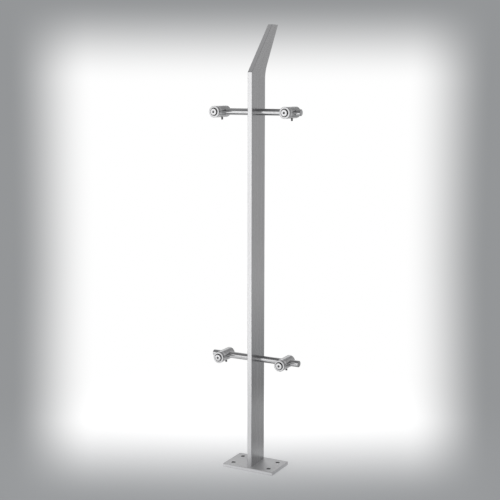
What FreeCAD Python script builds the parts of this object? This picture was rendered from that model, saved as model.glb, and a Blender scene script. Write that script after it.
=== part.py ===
import FreeCAD, Part
import math
import os

import Sketcher
from FreeCAD import Vector

# Railing post: a flat blade on a base plate, two cross rods and four glass clamps.
# Millimetres. X runs along the rods, Y points away from the glass side, Z is up.
# The origin is the middle of the base plate's underside.

SIZES = {
    # base plate
    "plate_length": 140.0,
    "plate_depth": 90.0,
    "plate_thick": 8.0,
    "plate_corner": 3.0,
    "plate_edge": 0.8,
    "anchor_inset": 20.0,
    "anchor_hole": 11.0,
    # blade
    "blade_width": 68.0,
    "blade_thick": 12.0,
    "blade_edge": 0.8,
    "bend_rise": 115.0,
    "tip_setback": 70.5,
    "tip_depth": 31.5,
    "front_bend": 4.0,
    "rear_bend": 65.0,
    # rods
    "rod_diameter": 16.0,
    "rod_length": 240.0,
    "rod_edge": 1.0,
    "rod_fit": 0.05,
    "lower_rod_height": 280.0,
    "rod_spacing": 610.0,
    "rod_to_bend": 95.0,
    # clamp places, from the rod's end to the clamp's axis
    "upper_clamp_inset": 25.0,
    "lower_clamp_inset": 35.0,
    # clamp barrel and discs
    "clamp_diameter": 28.0,
    "barrel_front": 25.0,
    "barrel_rear": 20.0,
    "bore_fit": 0.08,
    "turned_edge": 0.6,
    "disc_thick": 9.5,
    "gasket_thick": 1.0,
    "gasket_inset": 0.4,
    "cap_thick": 3.5,
    "head_seat_diameter": 20.0,
    "head_seat_depth": 2.0,
    # cap screw
    "screw_diameter": 8.0,
    "screw_passage": 0.5,
    "thread_fit": 0.05,
    "screw_tip_gap": 1.0,
    "head_diameter": 16.0,
    "head_height": 5.2,
    "head_bevel": 1.0,
    "socket_width": 5.0,
    "socket_depth": 3.0,
    # set screw
    "set_screw_diameter": 5.0,
    "set_screw_out": 6.0,
    "set_screw_point_gap": 0.1,
    "set_screw_edge": 0.5,
    "set_socket_width": 2.5,
    "set_socket_depth": 3.0,
}

# Heights along the post and depths along a clamp, measured from the rod's axis towards the glass.
LOWER_ROD = "Sizes.lower_rod_height"
UPPER_ROD = "(Sizes.lower_rod_height + Sizes.rod_spacing)"
BEND = "(%s + Sizes.rod_to_bend)" % UPPER_ROD
TOP = "(%s + Sizes.bend_rise)" % BEND
BARREL_FACE = "Sizes.barrel_front"
DISC_FACE = "(%s + Sizes.disc_thick)" % BARREL_FACE
GLASS_FACE = "(%s + Sizes.gasket_thick)" % DISC_FACE
CAP_BACK = "(%s + Sizes.gasket_thick)" % GLASS_FACE
CAP_FACE = "(%s + Sizes.cap_thick)" % CAP_BACK
HEAD_SEAT = "(%s - Sizes.head_seat_depth)" % CAP_FACE
HEAD_TOP = "(%s + Sizes.head_height)" % HEAD_SEAT

# Radii that pieces of a clamp share.
CLAMP_RADIUS = "Sizes.clamp_diameter / 2"
PASSAGE_RADIUS = "(Sizes.screw_diameter / 2 + Sizes.screw_passage)"
THREAD_RADIUS = "(Sizes.screw_diameter / 2 + Sizes.thread_fit)"
GASKET_RADIUS = "(Sizes.clamp_diameter / 2 - Sizes.gasket_inset)"

CLAMPS = {
    "upper_left": ("-(Sizes.rod_length / 2 - Sizes.upper_clamp_inset)", UPPER_ROD),
    "upper_right": ("Sizes.rod_length / 2 - Sizes.upper_clamp_inset", UPPER_ROD),
    "lower_left": ("-(Sizes.rod_length / 2 - Sizes.lower_clamp_inset)", LOWER_ROD),
    "lower_right": ("Sizes.rod_length / 2 - Sizes.lower_clamp_inset", LOWER_ROD),
}

NEAR_ZERO = 1e-6

doc = FreeCAD.newDocument("railing_post")
sheet = doc.addObject("Spreadsheet::Sheet", "Sizes")
for row, (alias, value) in enumerate(SIZES.items(), start=1):
    sheet.set("A%d" % row, alias)
    sheet.set("B%d" % row, str(value))
    sheet.setAlias("B%d" % row, alias)
doc.recompute()

pieces = []


def new_body(label, x="0", z="0"):
    """Starts a sub-part whose own origin lies at (x, 0, z) of the post."""
    body = doc.addObject("PartDesign::Body", label)
    body.Label = label
    body.setExpression(".Placement.Base.x", x)
    body.setExpression(".Placement.Base.z", z)
    pieces.append(body)
    return body


def new_sketch(body, plane_role, name):
    """Starts a sketch on one of the body's own origin planes."""
    plane = next(part for part in body.Origin.OriginFeatures if part.Role == plane_role)
    sketch = body.newObject("Sketcher::SketchObject", body.Name + "_" + name)
    sketch.AttachmentSupport = [(plane, "")]
    sketch.MapMode = "FlatFace"
    return sketch


def bind_point(sketch, geometry, position, x, y):
    """Ties a point's sketch coordinates to two expressions."""
    for kind, expression in (("DistanceX", x), ("DistanceY", y)):
        index = sketch.addConstraint(Sketcher.Constraint(kind, -1, 1, geometry, position, 1.0))
        sketch.setExpression("Constraints[%d]" % index, expression)


def draw_outline(sketch, points):
    """Draws a closed outline of straight lines through points given as expressions."""
    count = len(points)
    turns = [2 * math.pi * i / count for i in range(count)]
    start = [Vector(math.cos(turn), math.sin(turn), 0) for turn in turns]
    for i in range(count):
        sketch.addGeometry(Part.LineSegment(start[i], start[(i + 1) % count]), False)
    for i in range(count):
        sketch.addConstraint(Sketcher.Constraint("Coincident", i, 2, (i + 1) % count, 1))
    for i, (x, y) in enumerate(points):
        bind_point(sketch, i, 1, x, y)


def draw_circle(sketch, diameter, x="0", y="0"):
    """Draws a circle whose diameter and centre are expressions."""
    geometry = sketch.addGeometry(Part.Circle(Vector(0, 0, 0), Vector(0, 0, 1), 1.0), False)
    index = sketch.addConstraint(Sketcher.Constraint("Diameter", geometry, 2.0))
    sketch.setExpression("Constraints[%d]" % index, diameter)
    bind_point(sketch, geometry, 3, x, y)


def draw_hexagon(sketch, width):
    """Draws a hexagon round the origin with the given width across its flats."""
    corner = "%s / sqrt(3)" % width
    half_corner = "%s / (2 * sqrt(3))" % width
    half_width = "%s / 2" % width
    draw_outline(sketch, [
        (corner, "0"),
        (half_corner, half_width),
        ("-" + half_corner, half_width),
        ("-" + corner, "0"),
        ("-" + half_corner, "-" + half_width),
        (half_corner, "-" + half_width),
    ])


def pad(body, sketch, length, side="One side"):
    feature = body.newObject("PartDesign::Pad", sketch.Name + "_pad")
    feature.Profile = sketch
    feature.SideType = side
    feature.setExpression("Length", length)
    doc.recompute()
    return feature


def pocket(body, sketch, side="One side", depth=None, against_normal=True):
    """Cuts a sketch out of the body, right through or to a depth, and makes sure that it cut."""
    before = body.Shape.Volume
    feature = body.newObject("PartDesign::Pocket", sketch.Name + "_pocket")
    feature.Profile = sketch
    feature.SideType = side
    feature.Reversed = not against_normal
    if depth is None:
        feature.Type = "ThroughAll"
    else:
        feature.setExpression("Length", depth)
    doc.recompute()
    if body.Shape.Volume > before - NEAR_ZERO:
        raise RuntimeError(feature.Name + " cuts nothing")
    return feature


def turn(body, plane_role, profile):
    """Turns a closed profile of (radius, height) points about the sketch's upright axis."""
    sketch = new_sketch(body, plane_role, "profile")
    draw_outline(sketch, profile)
    feature = body.newObject("PartDesign::Revolution", body.Name + "_turned")
    feature.Profile = sketch
    feature.ReferenceAxis = (sketch, ["V_Axis"])
    feature.Angle = 360.0
    doc.recompute()
    return feature


def dress_edges(body, kind, size_property, size, chosen):
    """Fillets or chamfers the edges of the body's last feature that a test picks."""
    base = body.Tip
    names = ["Edge%d" % (i + 1) for i, edge in enumerate(base.Shape.Edges) if chosen(edge)]
    feature = body.newObject("PartDesign::" + kind, "%s_%s" % (base.Name, kind.lower()))
    feature.Base = (base, names)
    feature.setExpression(size_property, size)
    doc.recompute()
    return feature


def runs_along(edge, axis):
    """Tells whether an edge is straight and parallel to one axis."""
    box = edge.BoundBox
    spans = {"x": box.XLength, "y": box.YLength, "z": box.ZLength}
    along = spans.pop(axis)
    return along > NEAR_ZERO and max(spans.values()) < NEAR_ZERO


def build_base_plate():
    body = new_body("base_plate")
    outline = new_sketch(body, "XY_Plane", "outline")
    half_length = "Sizes.plate_length / 2"
    half_depth = "Sizes.plate_depth / 2"
    draw_outline(outline, [
        ("-" + half_length, "-" + half_depth),
        (half_length, "-" + half_depth),
        (half_length, half_depth),
        ("-" + half_length, half_depth),
    ])
    pad(body, outline, "Sizes.plate_thick")
    dress_edges(body, "Fillet", "Radius", "Sizes.plate_corner", lambda edge: runs_along(edge, "z"))
    top = body.Shape.BoundBox.ZMax
    dress_edges(body, "Chamfer", "Size", "Sizes.plate_edge",
                lambda edge: edge.BoundBox.ZMin > top - NEAR_ZERO)
    anchors = new_sketch(body, "XY_Plane", "anchors")
    for side_x in ("-", ""):
        for side_y in ("-", ""):
            draw_circle(anchors, "Sizes.anchor_hole",
                        side_x + "(Sizes.plate_length / 2 - Sizes.anchor_inset)",
                        side_y + "(Sizes.plate_depth / 2 - Sizes.anchor_inset)")
    pocket(body, anchors, against_normal=False)


def build_blade():
    body = new_body("post_blade")
    outline = new_sketch(body, "YZ_Plane", "outline")
    draw_outline(outline, [
        ("-Sizes.blade_width / 2", "Sizes.plate_thick"),
        ("Sizes.blade_width / 2", "Sizes.plate_thick"),
        ("Sizes.blade_width / 2", BEND),
        ("Sizes.tip_setback + Sizes.tip_depth", TOP),
        ("Sizes.tip_setback", TOP),
        ("-Sizes.blade_width / 2", BEND),
    ])
    blank = pad(body, outline, "Sizes.blade_thick", side="Symmetric")

    foot, tip = blank.Shape.BoundBox.ZMin, blank.Shape.BoundBox.ZMax

    def at_bend(edge):
        height = edge.BoundBox.ZMin
        return runs_along(edge, "x") and foot + NEAR_ZERO < height < tip - NEAR_ZERO

    dress_edges(body, "Fillet", "Radius", "Sizes.front_bend",
                lambda edge: at_bend(edge) and edge.BoundBox.YMin < 0)
    dress_edges(body, "Fillet", "Radius", "Sizes.rear_bend",
                lambda edge: at_bend(edge) and edge.BoundBox.YMin > 0)

    def on_wide_face(edge):
        box = edge.BoundBox
        return box.XLength < NEAR_ZERO and box.ZMax > foot + NEAR_ZERO

    dress_edges(body, "Chamfer", "Size", "Sizes.blade_edge", on_wide_face)
    holes = new_sketch(body, "YZ_Plane", "rod_holes")
    for height in (LOWER_ROD, UPPER_ROD):
        draw_circle(holes, "Sizes.rod_diameter + 2 * Sizes.rod_fit", "0", height)
    pocket(body, holes, side="Symmetric")


def build_rod(label, height):
    body = new_body(label, z=height)
    section = new_sketch(body, "YZ_Plane", "section")
    draw_circle(section, "Sizes.rod_diameter")
    pad(body, section, "Sizes.rod_length", side="Symmetric")
    dress_edges(body, "Chamfer", "Size", "Sizes.rod_edge",
                lambda edge: edge.BoundBox.XLength < NEAR_ZERO)


def build_barrel(label, x, z):
    """Turned barrel with a threaded front hole, a cross bore for the rod and a set-screw hole below."""
    body = new_body(label, x, z)
    edge_radius = "%s - Sizes.turned_edge" % CLAMP_RADIUS
    turn(body, "XY_Plane", [
        (THREAD_RADIUS, "-" + BARREL_FACE),
        (edge_radius, "-" + BARREL_FACE),
        (CLAMP_RADIUS, "-%s + Sizes.turned_edge" % BARREL_FACE),
        (CLAMP_RADIUS, "Sizes.barrel_rear - Sizes.turned_edge"),
        (edge_radius, "Sizes.barrel_rear"),
        ("0", "Sizes.barrel_rear"),
        ("0", "0"),
        (THREAD_RADIUS, "0"),
    ])
    bore = new_sketch(body, "YZ_Plane", "bore")
    draw_circle(bore, "Sizes.rod_diameter + 2 * Sizes.bore_fit")
    pocket(body, bore, side="Symmetric")
    set_hole = new_sketch(body, "XY_Plane", "set_hole")
    draw_circle(set_hole, "Sizes.set_screw_diameter + 2 * Sizes.thread_fit")
    pocket(body, set_hole)


def build_ring(label, x, z, outer_radius, front, back, front_edge):
    """Turned ring round the cap screw, bevelled at its front rim."""
    body = new_body(label, x, z)
    turn(body, "XY_Plane", [
        (PASSAGE_RADIUS, "-" + back),
        (outer_radius, "-" + back),
        (outer_radius, "-%s + %s" % (front, front_edge)),
        ("%s - %s" % (outer_radius, front_edge), "-" + front),
        (PASSAGE_RADIUS, "-" + front),
    ])


def build_gasket(label, x, z, front, back):
    body = new_body(label, x, z)
    turn(body, "XY_Plane", [
        (PASSAGE_RADIUS, "-" + back),
        (GASKET_RADIUS, "-" + back),
        (GASKET_RADIUS, "-" + front),
        (PASSAGE_RADIUS, "-" + front),
    ])


def build_cap(label, x, z):
    """Front disc with a bevelled rim and a round seat that the screw's head stands in."""
    body = new_body(label, x, z)
    seat_radius = "Sizes.head_seat_diameter / 2"
    turn(body, "XY_Plane", [
        (PASSAGE_RADIUS, "-" + CAP_BACK),
        (CLAMP_RADIUS, "-" + CAP_BACK),
        (CLAMP_RADIUS, "-%s + Sizes.turned_edge" % CAP_FACE),
        ("%s - Sizes.turned_edge" % CLAMP_RADIUS, "-" + CAP_FACE),
        (seat_radius, "-" + CAP_FACE),
        (seat_radius, "-" + HEAD_SEAT),
        (PASSAGE_RADIUS, "-" + HEAD_SEAT),
    ])


def build_cap_screw(label, x, z):
    """Round-headed screw with a bevelled rim and a hexagon socket, its tip just clear of the rod."""
    body = new_body(label, x, z)
    shank_radius = "Sizes.screw_diameter / 2"
    head_radius = "Sizes.head_diameter / 2"
    tip = "(Sizes.rod_diameter / 2 + Sizes.screw_tip_gap)"
    turn(body, "XY_Plane", [
        ("0", "-" + tip),
        (shank_radius + " - Sizes.turned_edge", "-" + tip),
        (shank_radius, "-%s - Sizes.turned_edge" % tip),
        (shank_radius, "-" + HEAD_SEAT),
        (head_radius, "-" + HEAD_SEAT),
        (head_radius, "-%s + Sizes.head_bevel" % HEAD_TOP),
        (head_radius + " - Sizes.head_bevel", "-" + HEAD_TOP),
        ("0", "-" + HEAD_TOP),
    ])
    socket = new_sketch(body, "XZ_Plane", "socket")
    socket.setExpression(".AttachmentOffset.Base.z", HEAD_TOP)
    draw_hexagon(socket, "Sizes.socket_width")
    pocket(body, socket, depth="Sizes.socket_depth")


def build_set_screw(label, x, z):
    """Headless screw below the barrel, its point on the rod and a hexagon socket in its lower end."""
    body = new_body(label, x, z)
    radius = "Sizes.set_screw_diameter / 2"
    narrow = "(%s - Sizes.set_screw_edge)" % radius
    point = "(Sizes.rod_diameter / 2 + Sizes.set_screw_point_gap)"
    end = "(%s + Sizes.set_screw_out)" % CLAMP_RADIUS
    turn(body, "XZ_Plane", [
        ("0", "-" + point),
        (narrow, "-" + point),
        (radius, "-%s - Sizes.set_screw_edge" % point),
        (radius, "-%s + Sizes.set_screw_edge" % end),
        (narrow, "-" + end),
        ("0", "-" + end),
    ])
    socket = new_sketch(body, "XY_Plane", "socket")
    socket.setExpression(".AttachmentOffset.Base.z", "-" + end)
    draw_hexagon(socket, "Sizes.set_socket_width")
    pocket(body, socket, depth="Sizes.set_socket_depth", against_normal=False)


def build_clamp(place, x, z):
    build_barrel(place + "_barrel", x, z)
    build_ring(place + "_rear_disc", x, z, CLAMP_RADIUS, DISC_FACE, BARREL_FACE, "Sizes.turned_edge")
    build_gasket(place + "_rear_gasket", x, z, GLASS_FACE, DISC_FACE)
    build_gasket(place + "_front_gasket", x, z, CAP_BACK, GLASS_FACE)
    build_cap(place + "_cap", x, z)
    build_cap_screw(place + "_cap_screw", x, z)
    build_set_screw(place + "_set_screw", x, z)


build_base_plate()
build_blade()
build_rod("upper_rod", UPPER_ROD)
build_rod("lower_rod", LOWER_ROD)
for place, (clamp_x, clamp_z) in CLAMPS.items():
    build_clamp(place, clamp_x, clamp_z)
doc.recompute()

for item in doc.Objects:
    if "Invalid" in item.State or "Error" in item.State:
        raise RuntimeError(item.Label + " failed: " + ", ".join(item.State))
for body in pieces:
    if body.Shape.isNull() or not body.Shape.isValid() or len(body.Shape.Solids) != 1:
        raise RuntimeError(body.Label + " is not one sound solid")

os.makedirs("parts", exist_ok=True)
for body in pieces:
    body.Shape.exportStep("parts/%s.step" % body.Label)
    print(body.Label, round(body.Shape.Volume, 1))
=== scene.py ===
"""Finishes, threaded screws, studio and camera for a railing post with four glass clamps."""
import math

import bmesh
import bpy
from mathutils import Matrix, Vector


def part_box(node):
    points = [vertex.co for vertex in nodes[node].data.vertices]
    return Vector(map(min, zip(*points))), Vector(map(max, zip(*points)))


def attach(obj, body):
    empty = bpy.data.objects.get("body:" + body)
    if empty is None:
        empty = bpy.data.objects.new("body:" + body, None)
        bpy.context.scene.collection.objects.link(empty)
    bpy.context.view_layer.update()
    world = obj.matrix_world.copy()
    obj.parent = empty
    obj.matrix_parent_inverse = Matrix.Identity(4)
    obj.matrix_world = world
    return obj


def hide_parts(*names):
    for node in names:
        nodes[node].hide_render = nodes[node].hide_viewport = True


MM = 0.001
PLACES = ("upper_left", "upper_right", "lower_left", "lower_right")

# Clamps: their discs, the cap screw's head, socket and thread, then the set screw's socket and thread.
CLAMP_DIAMETER = 28 * MM
HEAD_SEAT_DIAMETER = 20 * MM
SEAT_BLEND = 0.2 * MM
HEAD_DIAMETER = 16 * MM
HEAD_HEIGHT = 5.2 * MM
HEAD_SOFTENING = 1.0 * MM
HEAD_RELIEF = 0.3 * MM
CAP_SOCKET = 5 * MM
CAP_SOCKET_DEPTH = 3 * MM
CAP_PITCH = 1.25 * MM
CAP_THREAD_ROOT = 3.3 * MM
CAP_THREAD_CREST = 3.97 * MM
SET_SOCKET = 2.5 * MM
SET_SOCKET_DEPTH = 3 * MM
SET_PITCH = 0.8 * MM
SET_THREAD_ROOT = 2.06 * MM
SET_THREAD_CREST = 2.47 * MM
RING_POINTS = 48
THREAD_STEPS = 6
SHARP_DEG = 35.0
# Shares: a socket's floor and mouth against its hexagon, the cone under its floor, a thread's end against its root.
SOCKET_FLOOR_SHARE = 0.97
SOCKET_MOUTH_SHARE = 1.06
SOCKET_CONE_SHARE = 0.25
THREAD_END_SHARE = 0.96

# Blade: where its top starts to lean, how far it leans for each metre up, and what counts as a wide face.
BEND_HEIGHT = 985 * MM
LEAN_SLOPE = 0.75
WIDE_FACE_LEAST = 0.9

# Anchor holes: how far their middles lie from the plate's middle lines, and what counts as a hole's wall.
ANCHOR_SPOT = Vector((50 * MM, 25 * MM))
BORE_REACH = 6 * MM
BORE_TILT_MOST = 0.5

# Finishes: noise cells to the metre, how far the marks stretch along each axis, and the part of the noise in use.
GROUND_LINES = 4000.0
GROUND_STREAKS = 260.0
LINE_SHARE = 0.45
HANDLING_MARKS = (14.0, 14.0, 9.0)
TURNED_RINGS = 5000.0
POLISH_HAZE = (45.0, 45.0, 45.0)
SCREW_MOTTLE = (700.0, 700.0, 700.0)
SCREW_GRAIN = (4000.0, 4000.0, 4000.0)
RUBBER_GRAIN = (3000.0, 3000.0, 3000.0)
RUBBER_BLOOM = (150.0, 150.0, 150.0)
DISC_HAZE = (2.0, 2.0, 2.0)
ALONG_BLADE = (1.0, 1.0, 160.0)
ALONG_PLATE = (160.0, 1.0, 1.0)
ROUND_ROD = (1.0, 200.0, 200.0)
ROUND_BARREL = (200.0, 1.0, 200.0)
ROUND_BORE = (200.0, 200.0, 1.0)
NOISE_RANGE = (0.3, 0.7)
STEEL_TINT = 1.01
# How deep each kind of mark is.
GROUND_DEPTH = 0.02 * MM
TURNED_DEPTH = 0.012 * MM
DRAWN_DEPTH = 0.01 * MM
SCREW_DEPTH = 0.02 * MM
RUBBER_DEPTH = 0.03 * MM
# The cap's seat for the screw head, painted dark as shade round the head: its depth as shares of the cap's height, the
# grey of that painted shade and its added roughness.
SEAT_SHADE_DEPTHS = (0.05, 0.45)
SEAT_SHADE_GREY = 0.13
SEAT_ROUGHENING = 0.3

# Camera: where it stands round the post, in degrees and metres, and its focal length in pixels of the square image.
IMAGE_PIXELS = 500
FOCAL_PIXELS = 1070.7
SENSOR_MM = 36.0
CAMERA_AZIMUTH = 28.10
CAMERA_DOWN = 9.00
CAMERA_ROLL = 0.08
CAMERA_DISTANCE = 2.631
AIM_SIDE = -0.015
AIM_HEIGHT = 0.5533
CAMERA_REACH = 100.0

# Stage: a paper sweep with a painted pool of light round the post, a soft grey border of painted shade round the pool
# and pale paper farther out.
# Pairs give where a change starts and ends: shares of the pool's half width, metres back or metres up.
WALL_DISTANCE = 4.0
SWEEP_RADIUS = 1.2
STAGE_HALF_WIDTH = 9.0
STAGE_FRONT = 9.0
STAGE_TOP = 6.0
SWEEP_STEPS = 16
POOL_HALF_WIDTH = 0.615
POOL_WIDENING = 0.219
POOL_LEAST_WIDTH = 0.05
POOL_SIDES = (0.64, 0.99)
POOL_NEAR_END = (-0.258, 0.414)
POOL_TOP = (0.937, 1.473)
OUTER_SIDES = (1.03, 2.6)
OUTER_NEAR_END = (-0.30, -1.30)
OUTER_TOP = (1.60, 2.80)
OUTER_LEVEL = 0.8
POOL_COLOUR = (1.0, 1.0, 1.0, 1.0)
BORDER_SHADE_COLOUR = (0.297, 0.305, 0.313, 1.0)
SHADOW_REACH = 1.0
LIT_LEVEL = 0.23
MIRROR_REACH = (0.10, 0.22)
MIRROR_SHARES = (0.8, 0.30)
WORLD_COLOUR = (0.30, 0.30, 0.304, 1.0)
WORLD_SEEN_COLOUR = (0.86, 0.86, 0.862, 1.0)

# Lamps that stand: azimuth, distance, height, height aimed at, width, height of the panel and brightness.
SOFTBOXES = {
    "key": (-28.0, 3.0, 1.0, 0.6, 2.4, 1.6, 1.22),
    "front": (30.0, 3.4, 1.1, 0.8, 1.6, 1.6, 0.70),
    "fill": (152.0, 3.0, 1.0, 0.6, 2.4, 1.6, 0.16),
    "tip": (-87.0, 0.27, 1.50, 1.04, 0.35, 0.35, 0.19),
    "right": (95.0, 3.2, 1.0, 0.6, 2.2, 1.8, 0.45),
    "left": (-95.0, 3.2, 1.0, 0.6, 2.2, 1.8, 0.45),
    "rear": (208.0, 3.2, 1.45, 0.1, 2.4, 0.9, 0.97),
}
# Lamps that lie on the floor and face up: azimuth, near edge, far edge, width and brightness.
FLOOR_CARDS = {
    "foot_card": (0.0, 0.0455, 0.056, 0.16, 0.38),
    "near_card": (-28.0, 0.12, 1.1, 0.6, 0.72),
    "far_card": (-28.0, 1.1, 2.9, 2.6, 1.17),
    "front_card": (30.0, 0.4, 3.2, 1.0, 0.78),
    "rear_card": (152.0, 0.80, 4.0, 2.6, 0.21),
}
CARD_LIFT = 0.001

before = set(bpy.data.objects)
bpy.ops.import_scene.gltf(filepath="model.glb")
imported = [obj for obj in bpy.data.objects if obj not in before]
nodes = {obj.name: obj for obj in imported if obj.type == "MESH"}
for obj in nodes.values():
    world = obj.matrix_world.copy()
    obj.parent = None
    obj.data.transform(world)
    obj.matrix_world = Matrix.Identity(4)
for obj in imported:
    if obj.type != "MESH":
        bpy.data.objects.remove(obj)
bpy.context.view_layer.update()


def direction_frame(azimuth_deg):
    """Right and forward unit vectors, level, of someone who looks at the post from an azimuth."""
    turn = math.radians(azimuth_deg)
    right = Vector((math.cos(turn), math.sin(turn), 0.0))
    forward = Vector((-math.sin(turn), math.cos(turn), 0.0))
    return right, forward


class Shader:
    """A material's node tree with short calls for adding and linking nodes."""

    def __init__(self, tree):
        self.tree = tree
        self.tree.nodes.clear()

    def add(self, kind, inputs=None, **settings):
        node = self.tree.nodes.new("ShaderNode" + kind)
        for name, value in settings.items():
            setattr(node, name, value)
        for name, value in (inputs or {}).items():
            self.feed(node.inputs[name], value)
        return node

    def feed(self, socket, value):
        """Links an output to a socket, or sets the socket's own value."""
        if isinstance(value, bpy.types.NodeSocket):
            self.tree.links.new(value, socket)
        else:
            socket.default_value = value

    def math(self, operation, *values, clamp=False):
        node = self.add("Math", operation=operation, use_clamp=clamp)
        for socket, value in zip(node.inputs, values):
            self.feed(socket, value)
        return node.outputs[0]

    def remap(self, value, low, high, to_low, to_high, kind="LINEAR"):
        names = {"Value": value, "From Min": low, "From Max": high, "To Min": to_low, "To Max": to_high}
        return self.add("MapRange", names, interpolation_type=kind).outputs[0]

    def blend(self, factor, first, second):
        node = self.add("Mix", data_type="RGBA")
        for socket, value in zip((node.inputs[0], node.inputs[6], node.inputs[7]), (factor, first, second)):
            self.feed(socket, value)
        return node.outputs[2]

    def noise(self, vector, scale, detail=2.0, roughness=0.5):
        """Noise over coordinates that are stretched first, by a scale for each axis."""
        stretched = self.add("Mapping", {"Vector": vector, "Scale": scale}).outputs[0]
        names = {"Vector": stretched, "Scale": 1.0, "Detail": detail, "Roughness": roughness}
        return self.add("TexNoise", names).outputs["Fac"]

    def finish(self, surface):
        self.add("OutputMaterial", {"Surface": surface})


def new_shader(name):
    material = bpy.data.materials.new(name)
    material.use_nodes = True
    return material, Shader(material.node_tree)


def metal_surface(shader, colour, roughness, normal):
    principled = shader.add("BsdfPrincipled", {
        "Base Color": colour, "Metallic": 1.0, "Roughness": roughness, "Normal": normal,
    })
    shader.finish(principled.outputs[0])


def grey(level):
    return (level, level, level * STEEL_TINT, 1.0)


def satin_steel(name, stretch, dark, light, rough_low, rough_high, lean_start=None, lean_slope=0.0):
    """Flat bar with a ground finish: fine lines along the bar, soft streaks and a few handling marks."""
    material, shader = new_shader(name)
    place = shader.add("TexCoord").outputs["Object"]
    if lean_start is not None:
        parts = shader.add("SeparateXYZ", {"Vector": place})
        above = shader.math("MAXIMUM", shader.math("SUBTRACT", parts.outputs["Z"], lean_start), 0.0)
        straight = shader.math("SUBTRACT", parts.outputs["Y"], shader.math("MULTIPLY", above, lean_slope))
        place = shader.add("CombineXYZ", {"X": parts.outputs["X"], "Y": straight, "Z": parts.outputs["Z"]}).outputs[0]
    lines = shader.noise(place, [GROUND_LINES / s for s in stretch], detail=3.0, roughness=0.6)
    streaks = shader.noise(place, [GROUND_STREAKS / s for s in stretch], detail=2.0)
    marks = shader.noise(place, HANDLING_MARKS, detail=4.0, roughness=0.55)
    tone = shader.math("ADD", shader.math("MULTIPLY", lines, LINE_SHARE),
                       shader.math("MULTIPLY", streaks, 1.0 - LINE_SHARE))
    colour = shader.blend(shader.remap(tone, 0.35, 0.65, 0.0, 1.0), dark, light)
    rough = shader.math("ADD", shader.remap(streaks, *NOISE_RANGE, rough_low, rough_high),
                        shader.remap(marks, 0.35, 0.7, -0.02, 0.03))
    bump = shader.add("Bump", {"Height": lines, "Strength": 0.12, "Distance": GROUND_DEPTH})
    metal_surface(shader, colour, rough, bump.outputs[0])
    return material


def polished_steel(name, stretch, dark, light, rough_low, rough_high, depth):
    """Turned or drawn round stock: very fine rings round its axis over a polished skin."""
    material, shader = new_shader(name)
    place = shader.add("TexCoord").outputs["Object"]
    rings = shader.noise(place, [TURNED_RINGS / s for s in stretch], detail=2.0, roughness=0.6)
    haze = shader.noise(place, POLISH_HAZE, detail=4.0, roughness=0.6)
    colour = shader.blend(shader.remap(haze, *NOISE_RANGE, 0.0, 1.0), dark, light)
    rough = shader.math("ADD", shader.remap(haze, *NOISE_RANGE, rough_low, rough_high),
                        shader.remap(rings, *NOISE_RANGE, -0.02, 0.02))
    bump = shader.add("Bump", {"Height": rings, "Strength": 0.1, "Distance": depth})
    metal_surface(shader, colour, rough, bump.outputs[0])
    return material


def turned_face_steel(name, dark, light, rough_low, rough_high, seat_radius=None):
    """Turned discs: fine tool marks round the piece's own axis, which runs along Y, and painted shade in the seat round
    the screw head if it has one.
    """
    material, shader = new_shader(name)
    place = shader.add("TexCoord").outputs["Generated"]
    parts = shader.add("SeparateXYZ", {"Vector": place})
    side = shader.math("SUBTRACT", parts.outputs["X"], 0.5)
    height = shader.math("SUBTRACT", parts.outputs["Z"], 0.5)
    square = shader.math("ADD", shader.math("MULTIPLY", side, side), shader.math("MULTIPLY", height, height))
    radius = shader.math("MULTIPLY", shader.math("SQRT", square), CLAMP_DIAMETER)
    along = shader.math("MULTIPLY", parts.outputs["Y"], CLAMP_DIAMETER)
    rings_at = shader.add("CombineXYZ", {"X": radius, "Y": along, "Z": 0.0}).outputs[0]
    rings = shader.noise(rings_at, (TURNED_RINGS, TURNED_RINGS, 1.0), detail=2.0, roughness=0.6)
    haze = shader.noise(place, DISC_HAZE, detail=3.0)
    colour = shader.blend(shader.remap(haze, *NOISE_RANGE, 0.0, 1.0), dark, light)
    rough = shader.math("ADD", shader.remap(haze, *NOISE_RANGE, rough_low, rough_high),
                        shader.remap(rings, *NOISE_RANGE, -0.03, 0.03))
    # The seat round the screw head is painted dark grey: painted shade in the recess.
    if seat_radius is not None:
        within = shader.remap(radius, seat_radius - SEAT_BLEND, seat_radius + SEAT_BLEND, 1.0, 0.0)
        seat_shade = shader.math("MULTIPLY", within, shader.remap(parts.outputs["Y"], *SEAT_SHADE_DEPTHS, 0.0, 1.0))
        colour = shader.blend(seat_shade, colour, grey(SEAT_SHADE_GREY))
        rough = shader.math("MULTIPLY_ADD", seat_shade, SEAT_ROUGHENING, rough)
    bump = shader.add("Bump", {"Height": rings, "Strength": 0.12, "Distance": TURNED_DEPTH})
    metal_surface(shader, colour, rough, bump.outputs[0])
    return material


def screw_steel(name, dark, light, rough_low, rough_high):
    """Screws: cold-formed steel with a faint mottle."""
    material, shader = new_shader(name)
    place = shader.add("TexCoord").outputs["Object"]
    mottle = shader.noise(place, SCREW_MOTTLE, detail=4.0, roughness=0.6)
    fine = shader.noise(place, SCREW_GRAIN, detail=2.0)
    colour = shader.blend(shader.remap(mottle, *NOISE_RANGE, 0.0, 1.0), dark, light)
    rough = shader.remap(mottle, *NOISE_RANGE, rough_low, rough_high)
    bump = shader.add("Bump", {"Height": fine, "Strength": 0.08, "Distance": SCREW_DEPTH})
    metal_surface(shader, colour, rough, bump.outputs[0])
    return material


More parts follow.
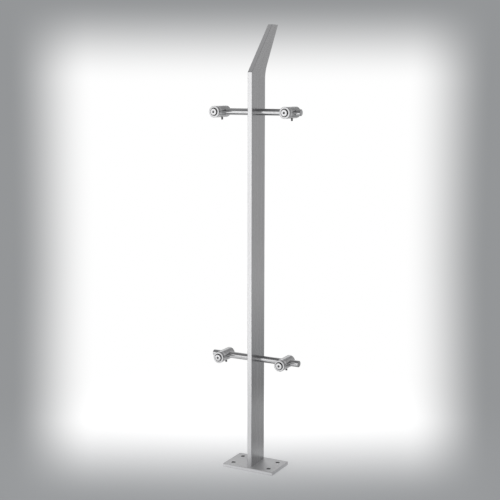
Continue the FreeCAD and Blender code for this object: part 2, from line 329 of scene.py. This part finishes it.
def rubber(name):
    """Gasket rubber: matt, nearly black, with a fine moulded grain."""
    material, shader = new_shader(name)
    place = shader.add("TexCoord").outputs["Object"]
    grain = shader.noise(place, RUBBER_GRAIN, detail=3.0)
    bloom = shader.noise(place, RUBBER_BLOOM, detail=3.0)
    colour = shader.blend(bloom, grey(0.018), grey(0.035))
    rough = shader.remap(bloom, *NOISE_RANGE, 0.6, 0.75)
    bump = shader.add("Bump", {"Height": grain, "Strength": 0.3, "Distance": RUBBER_DEPTH})
    principled = shader.add("BsdfPrincipled", {
        "Base Color": colour, "Roughness": rough, "Normal": bump.outputs[0], "Specular IOR Level": 0.35,
    })
    shader.finish(principled.outputs[0])
    return material


def dress(node, material):
    """Gives a CAD node its finish."""
    nodes[node].data.materials.clear()
    nodes[node].data.materials.append(material)


def dress_faces(node, material, belongs):
    """Gives a second finish to the faces of a dressed CAD node that pass a test."""
    nodes[node].data.materials.append(material)
    for face in nodes[node].data.polygons:
        face.material_index = 1 if belongs(face) else 0


def is_narrow_edge(face):
    return abs(face.normal.x) <= WIDE_FACE_LEAST


def is_bore_wall(face):
    off = Vector((abs(face.center.x), abs(face.center.y))) - ANCHOR_SPOT
    return off.length < BORE_REACH and abs(face.normal.z) < BORE_TILT_MOST


# Each finish: its dark and light grey, then its least and greatest roughness.
blade_finish = satin_steel("satin_blade", ALONG_BLADE, grey(0.44), grey(0.51), 0.24, 0.30, BEND_HEIGHT, LEAN_SLOPE)
# The narrow faces are lighter than the wide faces: a ground edge finish and also a painted highlight where light falls
# on them.
edge_finish_and_highlight = satin_steel("ground_edge_and_highlight", ALONG_BLADE, grey(0.60), grey(0.66), 0.32, 0.38, BEND_HEIGHT, LEAN_SLOPE)
plate_finish = satin_steel("satin_plate", ALONG_PLATE, grey(0.68), grey(0.76), 0.50, 0.56)
bore_finish = polished_steel("drilled_bore", ROUND_BORE, grey(0.42), grey(0.48), 0.40, 0.48, TURNED_DEPTH)
rod_finish = polished_steel("polished_rod", ROUND_ROD, grey(0.47), grey(0.53), 0.13, 0.18, DRAWN_DEPTH)
barrel_finish = polished_steel("polished_barrel", ROUND_BARREL, grey(0.40), grey(0.46), 0.16, 0.22, TURNED_DEPTH)
disc_finish = turned_face_steel("turned_disc", grey(0.56), grey(0.63), 0.18, 0.25)
# The cap's finish paints shade into the seat round the screw head.
cap_finish = turned_face_steel("turned_cap_seat_shade", grey(0.46), grey(0.52), 0.18, 0.25, HEAD_SEAT_DIAMETER / 2)
screw_finish = screw_steel("screw_bright", grey(0.56), grey(0.64), 0.22, 0.30)
lock_finish = screw_steel("screw_dark", grey(0.18), grey(0.26), 0.32, 0.42)
# The faces of the screws' hex sockets are painted darker than the screws: painted shade in the sockets.
socket_shade_finish = screw_steel("screw_socket_shade", grey(0.20), grey(0.26), 0.45, 0.55)
gasket_finish = rubber("gasket_rubber")

dress("post_blade", blade_finish)
dress_faces("post_blade", edge_finish_and_highlight, is_narrow_edge)
dress("base_plate", plate_finish)
dress_faces("base_plate", bore_finish, is_bore_wall)
for rod in ("upper_rod", "lower_rod"):
    dress(rod, rod_finish)
for place in PLACES:
    dress(place + "_barrel", barrel_finish)
    dress(place + "_rear_disc", disc_finish)
    dress(place + "_cap", cap_finish)
    dress(place + "_rear_gasket", gasket_finish)
    dress(place + "_front_gasket", gasket_finish)


def circle(radius):
    """Radius by angle of a round outline."""
    return lambda angle: radius


def hexagon(across_flats):
    """Radius by angle of a hexagon."""
    return lambda angle: across_flats / 2 / math.cos(angle % (math.pi / 3) - math.pi / 6)


def thread(depth, pitch, root, crest, limit):
    """Radius by angle where a plane across the axis cuts a screw thread that a cone may trim."""
    def radius(angle):
        phase = (depth / pitch - angle / (2 * math.pi)) % 1.0
        flank = min(1.0, max(0.0, 1.5 - abs(phase - 0.5) * 4))
        return min(limit, root + (crest - root) * flank)
    return radius


def socket_rings(across_flats, deep):
    """Rings of a hexagon socket from its floor to the face it opens in, with a cone at the mouth."""
    mouth = across_flats / math.sqrt(3) * SOCKET_MOUTH_SHARE
    return [
        (deep, hexagon(across_flats * SOCKET_FLOOR_SHARE)),
        (mouth - across_flats / 2, hexagon(across_flats)),
        (0.0, circle(mouth)),
    ]


def thread_rings(first, last, pitch, root, crest):
    """Rings of a thread between two depths, trimmed by a cone at each end."""
    count = round((last - first) / pitch * THREAD_STEPS)
    rings = []
    for step in range(count + 1):
        depth = first + (last - first) * step / count
        limit = root * THREAD_END_SHARE + min(depth - first, last - depth)
        rings.append((depth, thread(depth, pitch, root, crest, limit)))
    return rings


def rounded_corner(depth, radius, fillet, steps=4):
    """Rings of a rounded edge from a face at one depth to the wall at one radius."""
    rings = []
    for step in range(steps + 1):
        turn = math.pi / 2 * step / steps
        rings.append((depth + fillet * (1 - math.cos(turn)), circle(radius - fillet * (1 - math.sin(turn)))))
    return rings


def lathe(name, rings, floor_depth, end_depth, place_at, finish):
    """A closed screw from rings of radii by angle; the faces of its socket take the darker finish, painted shade in the
    socket.
    """
    shape = bmesh.new()
    loops = []
    for depth, radius in rings:
        loop = []
        for step in range(RING_POINTS):
            angle = 2 * math.pi * step / RING_POINTS
            reach = radius(angle)
            loop.append(shape.verts.new(place_at(reach * math.cos(angle), reach * math.sin(angle), depth)))
        loops.append(loop)
    floor = shape.verts.new(place_at(0.0, 0.0, floor_depth))
    end = shape.verts.new(place_at(0.0, 0.0, end_depth))
    # Material index 1 is the socket's painted shade.
    for step in range(RING_POINTS):
        after = (step + 1) % RING_POINTS
        shape.faces.new((floor, loops[0][step], loops[0][after])).material_index = 1
        shape.faces.new((end, loops[-1][after], loops[-1][step]))
        for row, (inner, outer) in enumerate(zip(loops, loops[1:])):
            side = shape.faces.new((inner[step], outer[step], outer[after], inner[after]))
            side.material_index = 1 if row == 0 else 0
    bmesh.ops.recalc_face_normals(shape, faces=shape.faces)
    for face in shape.faces:
        face.smooth = True
    mesh = bpy.data.meshes.new(name)
    shape.to_mesh(mesh)
    shape.free()
    mesh.set_sharp_from_angle(angle=math.radians(SHARP_DEG))
    mesh.materials.append(finish)
    mesh.materials.append(socket_shade_finish)
    piece = bpy.data.objects.new(name, mesh)
    bpy.context.scene.collection.objects.link(piece)
    return piece


def build_cap_screw(place):
    """The socket screw that holds a clamp's cap: a round head with softened edges and a threaded shank."""
    low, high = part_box(place + "_cap_screw")
    length = high[1] - low[1]
    middle_x, middle_z = (low[0] + high[0]) / 2, (low[2] + high[2]) / 2
    rings = socket_rings(CAP_SOCKET, CAP_SOCKET_DEPTH)
    rings += rounded_corner(0.0, HEAD_DIAMETER / 2, HEAD_SOFTENING)
    rings += [(HEAD_HEIGHT, circle(HEAD_DIAMETER / 2)), (HEAD_HEIGHT, circle(CAP_THREAD_ROOT))]
    rings += thread_rings(HEAD_HEIGHT + HEAD_RELIEF, length, CAP_PITCH, CAP_THREAD_ROOT, CAP_THREAD_CREST)
    cone_end = CAP_SOCKET_DEPTH + CAP_SOCKET * SOCKET_CONE_SHARE
    piece = lathe(place + "_threaded_cap_screw", rings, cone_end, length,
                  lambda u, v, depth: (middle_x + u, low[1] + depth, middle_z + v), screw_finish)
    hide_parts(place + "_cap_screw")
    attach(piece, place + "_front")


def build_set_screw(place):
    """The headless socket screw that locks a clamp on its rod, threaded from end to end."""
    low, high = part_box(place + "_set_screw")
    length = high[2] - low[2]
    middle_x, middle_y = (low[0] + high[0]) / 2, (low[1] + high[1]) / 2
    rings = socket_rings(SET_SOCKET, SET_SOCKET_DEPTH)
    rings += thread_rings(0.0, length, SET_PITCH, SET_THREAD_ROOT, SET_THREAD_CREST)
    cone_end = SET_SOCKET_DEPTH + SET_SOCKET * SOCKET_CONE_SHARE
    piece = lathe(place + "_threaded_set_screw", rings, cone_end, length,
                  lambda u, v, depth: (middle_x + u, middle_y + v, low[2] + depth), lock_finish)
    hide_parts(place + "_set_screw")
    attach(piece, place + "_lock")


for place in PLACES:
    build_cap_screw(place)
    build_set_screw(place)


def photo_view():
    """The viewpoint of the photograph: its place and its right, up and forward directions."""
    right, level_forward = direction_frame(CAMERA_AZIMUTH)
    down = math.radians(CAMERA_DOWN)
    forward = level_forward * math.cos(down) - Vector((0.0, 0.0, math.sin(down)))
    place = Vector((0.0, 0.0, AIM_HEIGHT)) + right * AIM_SIDE - forward * CAMERA_DISTANCE
    return place, right, right.cross(forward), forward


def stage_material():
    """White paper round the post with its shadow, a soft grey border of painted shade, and pale paper outside it; all
    by place.
    """
    material, shader = new_shader("stage_paper")
    place = shader.add("TexCoord").outputs["Object"]
    across, depth, height = shader.add("SeparateXYZ", {"Vector": place}).outputs
    half_width = shader.math("MULTIPLY_ADD", depth, POOL_WIDENING, POOL_HALF_WIDTH)
    share = shader.math("DIVIDE", shader.math("ABSOLUTE", across), shader.math("MAXIMUM", half_width, POOL_LEAST_WIDTH))
    inside = shader.remap(share, *POOL_SIDES, 1.0, 0.0, "SMOOTHSTEP")
    beyond = shader.remap(depth, *POOL_NEAR_END, 0.0, 1.0, "SMOOTHSTEP")
    below = shader.remap(height, *POOL_TOP, 1.0, 0.0, "SMOOTHSTEP")
    white = shader.math("MULTIPLY", inside, shader.math("MULTIPLY", beyond, below))
    aside = shader.remap(share, *OUTER_SIDES, 0.0, OUTER_LEVEL, "SMOOTHSTEP")
    before = shader.remap(depth, *OUTER_NEAR_END, 0.0, OUTER_LEVEL, "SMOOTHSTEP")
    above = shader.remap(height, *OUTER_TOP, 0.0, OUTER_LEVEL, "SMOOTHSTEP")
    outside = shader.math("MAXIMUM", aside, shader.math("MAXIMUM", before, above))
    # The grey border is painted shade: light falling off towards the paper's sides, near end and top is painted into
    # its colour.
    colour = shader.blend(shader.math("MAXIMUM", white, outside), BORDER_SHADE_COLOUR, POOL_COLOUR)
    reach = shader.add("VectorMath", {0: place}, operation="LENGTH").outputs["Value"]
    lit_share = shader.remap(reach, 0.0, SHADOW_REACH, 1.0, 0.0, "SMOOTHSTEP")
    paper = shader.add("BsdfDiffuse", {"Color": colour}).outputs[0]
    glow = shader.add("Emission", {"Color": colour, "Strength": 1.0}).outputs[0]
    dim_glow = shader.add("Emission", {"Color": colour, "Strength": 1.0 - LIT_LEVEL}).outputs[0]
    shaded = shader.add("AddShader", {0: dim_glow, 1: paper}).outputs[0]
    seen = shader.add("MixShader", {0: lit_share, 1: glow, 2: shaded}).outputs[0]
    path = shader.add("LightPath")
    mirror_share = shader.remap(reach, *MIRROR_REACH, *MIRROR_SHARES, "SMOOTHSTEP")
    mirrored = shader.math("MULTIPLY", path.outputs["Is Glossy Ray"], mirror_share)
    direct = shader.math("MAXIMUM", path.outputs["Is Camera Ray"],
                         shader.math("MAXIMUM", mirrored, path.outputs["Is Transmission Ray"]))
    shader.finish(shader.add("MixShader", {0: direct, 1: paper, 2: seen}).outputs[0])
    return material


def build_stage():
    """A floor that sweeps up into a wall behind the post; the paper's own axes run across, back and up."""
    profile = [(-STAGE_FRONT, 0.0)]
    for step in range(SWEEP_STEPS + 1):
        turn = math.pi / 2 * step / SWEEP_STEPS
        profile.append((WALL_DISTANCE - SWEEP_RADIUS + SWEEP_RADIUS * math.sin(turn),
                        SWEEP_RADIUS - SWEEP_RADIUS * math.cos(turn)))
    profile.append((WALL_DISTANCE, STAGE_TOP))
    shape = bmesh.new()
    rows = []
    for depth, height in profile:
        rows.append([shape.verts.new((side, depth, height)) for side in (-STAGE_HALF_WIDTH, STAGE_HALF_WIDTH)])
    for (a, b), (c, d) in zip(rows, rows[1:]):
        shape.faces.new((a, b, d, c)).smooth = True
    mesh = bpy.data.meshes.new("sweep")
    shape.to_mesh(mesh)
    shape.free()
    mesh.materials.append(stage_material())
    sweep = bpy.data.objects.new("sweep", mesh)
    sweep.location = direction_frame(CAMERA_AZIMUTH)[0] * AIM_SIDE
    sweep.rotation_euler = (0.0, 0.0, math.radians(CAMERA_AZIMUTH))
    bpy.context.scene.collection.objects.link(sweep)


def build_world():
    """Dim light all round that looks as pale as the paper where the view passes the paper's ends."""
    world = bpy.data.worlds.new("studio")
    world.use_nodes = True
    shader = Shader(world.node_tree)
    seen = shader.add("LightPath").outputs["Is Camera Ray"]
    colour = shader.blend(seen, WORLD_COLOUR, WORLD_SEEN_COLOUR)
    background = shader.add("Background", {"Color": colour, "Strength": 1.0})
    shader.add("OutputWorld", {"Surface": background.outputs[0]})
    bpy.context.scene.world = world


def aim(thing, place, target):
    thing.location = place
    thing.rotation_euler = (Vector(target) - Vector(place)).to_track_quat("-Z", "Y").to_euler()


def add_lamp(name, width, tall, brightness):
    """A rectangular soft lamp that the camera doesn't see; at a brightness of 1 it looks white in a mirror."""
    light = bpy.data.lights.new(name, "AREA")
    light.shape = "RECTANGLE"
    light.size = width
    light.size_y = tall
    light.energy = math.pi * width * tall * brightness
    lamp = bpy.data.objects.new(name, light)
    lamp.visible_camera = False
    bpy.context.scene.collection.objects.link(lamp)
    return lamp


def build_lamps():
    for name, (azimuth, distance, height, target_height, width, tall, brightness) in SOFTBOXES.items():
        forward = direction_frame(azimuth)[1]
        lamp = add_lamp(name, width, tall, brightness)
        aim(lamp, -forward * distance + Vector((0.0, 0.0, height)), (0.0, 0.0, target_height))
    for name, (azimuth, near, far, width, brightness) in FLOOR_CARDS.items():
        forward = direction_frame(azimuth)[1]
        lamp = add_lamp(name, width, far - near, brightness)
        lamp.location = -forward * (near + far) / 2 + Vector((0.0, 0.0, CARD_LIFT))
        lamp.rotation_euler = (math.pi, 0.0, math.radians(azimuth))


def build_camera():
    place, right, up, forward = photo_view()
    lens = bpy.data.cameras.new("camera")
    lens.sensor_width = SENSOR_MM
    lens.lens = FOCAL_PIXELS * SENSOR_MM / IMAGE_PIXELS
    lens.clip_end = CAMERA_REACH
    camera = bpy.data.objects.new("camera", lens)
    turn = Matrix((right, up, -forward)).transposed() @ Matrix.Rotation(math.radians(CAMERA_ROLL), 3, "Z")
    camera.matrix_world = Matrix.Translation(place) @ turn.to_4x4()
    bpy.context.scene.collection.objects.link(camera)
    bpy.context.scene.camera = camera


build_stage()
build_world()
build_lamps()
build_camera()
bpy.context.scene.view_settings.view_transform = "Standard"
